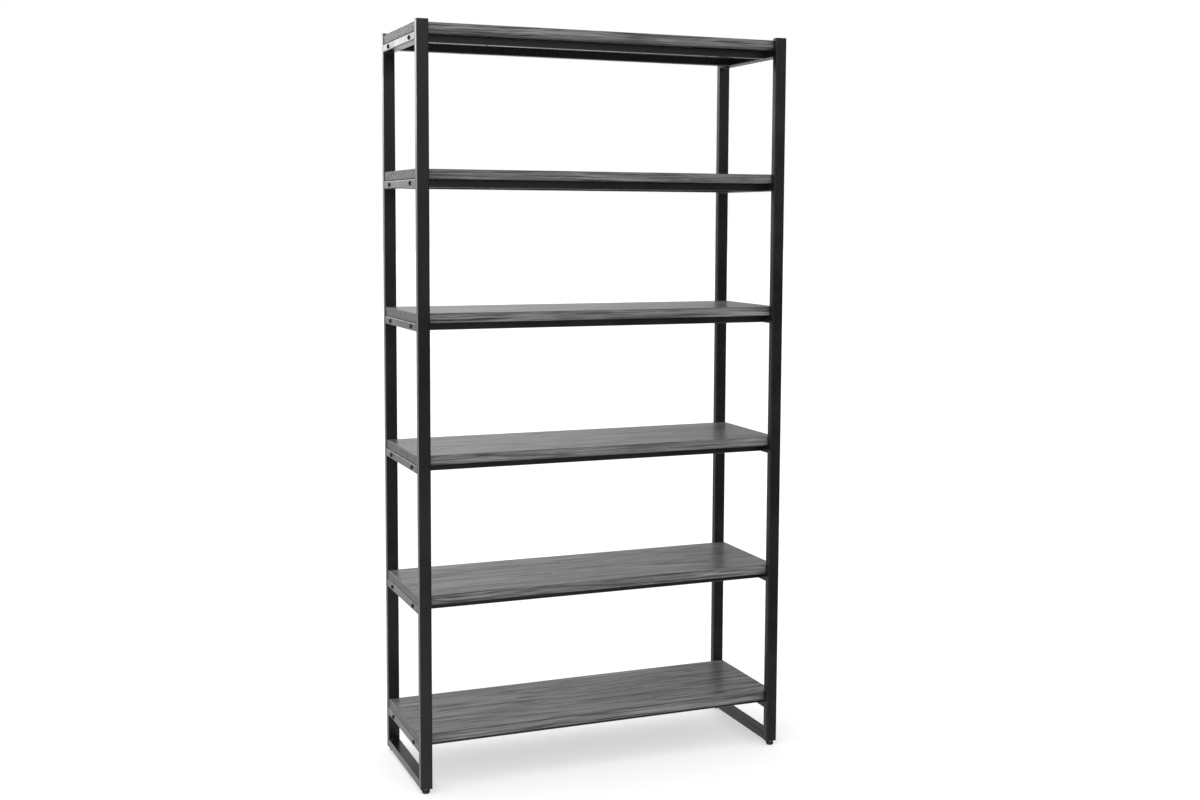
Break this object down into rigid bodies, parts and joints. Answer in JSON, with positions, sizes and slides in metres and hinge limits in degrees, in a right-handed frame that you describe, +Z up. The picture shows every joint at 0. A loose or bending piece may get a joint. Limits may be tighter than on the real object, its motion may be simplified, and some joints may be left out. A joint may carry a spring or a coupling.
{
  "type": "bookcase",
  "caption": "Tall open bookcase with a black tubular steel frame, equally spaced grey wooden boards bolted at fixed heights and small screw-in levelling feet.",
  "frame": {"origin": "middle of the footprint, on the floor", "axes": "+X along the boards to the right seen from the front, +Y from the front to the rear, +Z up"},
  "size_m": [1, 0.347, 1.895],
  "materials": {
    "frame_steel": "black fine-texture powder coat, satin",
    "board_wood": "grey rustic wood grain along the board, matt",
    "bolt_steel": "black oxide, satin",
    "stud_steel": "zinc plated",
    "screw_steel": "zinc plated",
    "plate_steel": "plain steel, hidden in the rail's end",
    "cap_plastic": "black moulded plastic, matt",
    "foot_plastic": "black moulded plastic, matt"
  },
  "bodies": {
    "root": {"upright_front_left": "frame_steel", "top_cap_front_left": "cap_plastic", "foot_socket_front_left": "cap_plastic", "upright_front_right": "frame_steel", "top_cap_front_right": "cap_plastic", "foot_socket_front_right": "cap_plastic", "upright_rear_left": "frame_steel", "top_cap_rear_left": "cap_plastic", "foot_socket_rear_left": "cap_plastic", "upright_rear_right": "frame_steel", "top_cap_rear_right": "cap_plastic", "foot_socket_rear_right": "cap_plastic", "base_rail_left": "frame_steel", "cross_rail_left_1": "frame_steel", "cross_rail_left_2": "frame_steel", "cross_rail_left_3": "frame_steel", "cross_rail_left_4": "frame_steel", "cross_rail_left_5": "frame_steel", "cross_rail_left_6": "frame_steel", "frame_bolts_left": "bolt_steel", "rail_end_plates_left": "plate_steel", "base_rail_right": "frame_steel", "cross_rail_right_1": "frame_steel", "cross_rail_right_2": "frame_steel", "cross_rail_right_3": "frame_steel", "cross_rail_right_4": "frame_steel", "cross_rail_right_5": "frame_steel", "cross_rail_right_6": "frame_steel", "frame_bolts_right": "bolt_steel", "rail_end_plates_right": "plate_steel", "front_rail_1": "frame_steel", "front_rail_2": "frame_steel", "front_rail_3": "frame_steel", "front_rail_4": "frame_steel", "front_rail_5": "frame_steel", "front_rail_6": "frame_steel", "board_screws_front": "screw_steel", "rear_rail_1": "frame_steel", "rear_rail_2": "frame_steel", "rear_rail_3": "frame_steel", "rear_rail_4": "frame_steel", "rear_rail_5": "frame_steel", "rear_rail_6": "frame_steel", "board_screws_rear": "screw_steel", "shelf_board_1": "board_wood", "shelf_board_2": "board_wood", "shelf_board_3": "board_wood", "shelf_board_4": "board_wood", "shelf_board_5": "board_wood", "shelf_board_6": "board_wood"},
    "foot_pad_body_front_left": {"foot_pad_front_left": "foot_plastic"},
    "foot_stud_body_front_left": {"foot_stud_front_left": "stud_steel"},
    "foot_pad_body_front_right": {"foot_pad_front_right": "foot_plastic"},
    "foot_stud_body_front_right": {"foot_stud_front_right": "stud_steel"},
    "foot_pad_body_rear_left": {"foot_pad_rear_left": "foot_plastic"},
    "foot_stud_body_rear_left": {"foot_stud_rear_left": "stud_steel"},
    "foot_pad_body_rear_right": {"foot_pad_rear_right": "foot_plastic"},
    "foot_stud_body_rear_right": {"foot_stud_rear_right": "stud_steel"}
  },
  "joints": [
    {"name": "foot_height_front_left", "type": "slide", "parent": "root", "child": "foot_pad_body_front_left", "axis": [0, 0, -1], "range_m": [0, 0.0125]},
    {"name": "foot_turn_front_left", "type": "hinge", "parent": "foot_pad_body_front_left", "child": "foot_stud_body_front_left", "pos_m": [-0.482, -0.1635, 0.02], "axis": [0, 0, -1], "range_deg": [0, 3610]},
    {"name": "foot_height_front_right", "type": "slide", "parent": "root", "child": "foot_pad_body_front_right", "axis": [0, 0, -1], "range_m": [0, 0.0125]},
    {"name": "foot_turn_front_right", "type": "hinge", "parent": "foot_pad_body_front_right", "child": "foot_stud_body_front_right", "pos_m": [0.482, -0.1635, 0.02], "axis": [0, 0, -1], "range_deg": [0, 3610]},
    {"name": "foot_height_rear_left", "type": "slide", "parent": "root", "child": "foot_pad_body_rear_left", "axis": [0, 0, -1], "range_m": [0, 0.0125]},
    {"name": "foot_turn_rear_left", "type": "hinge", "parent": "foot_pad_body_rear_left", "child": "foot_stud_body_rear_left", "pos_m": [-0.482, 0.1635, 0.02], "axis": [0, 0, -1], "range_deg": [0, 3610]},
    {"name": "foot_height_rear_right", "type": "slide", "parent": "root", "child": "foot_pad_body_rear_right", "axis": [0, 0, -1], "range_m": [0, 0.0125]},
    {"name": "foot_turn_rear_right", "type": "hinge", "parent": "foot_pad_body_rear_right", "child": "foot_stud_body_rear_right", "pos_m": [0.482, 0.1635, 0.02], "axis": [0, 0, -1], "range_deg": [0, 3610]}
  ],
  "couplings": [
    {"joint": "foot_turn_front_left", "follows": "foot_height_front_left", "rad_per_m": 5026.5},
    {"joint": "foot_turn_front_right", "follows": "foot_height_front_right", "rad_per_m": 5026.5},
    {"joint": "foot_turn_rear_left", "follows": "foot_height_rear_left", "rad_per_m": 5026.5},
    {"joint": "foot_turn_rear_right", "follows": "foot_height_rear_right", "rad_per_m": 5026.5}
  ]
}
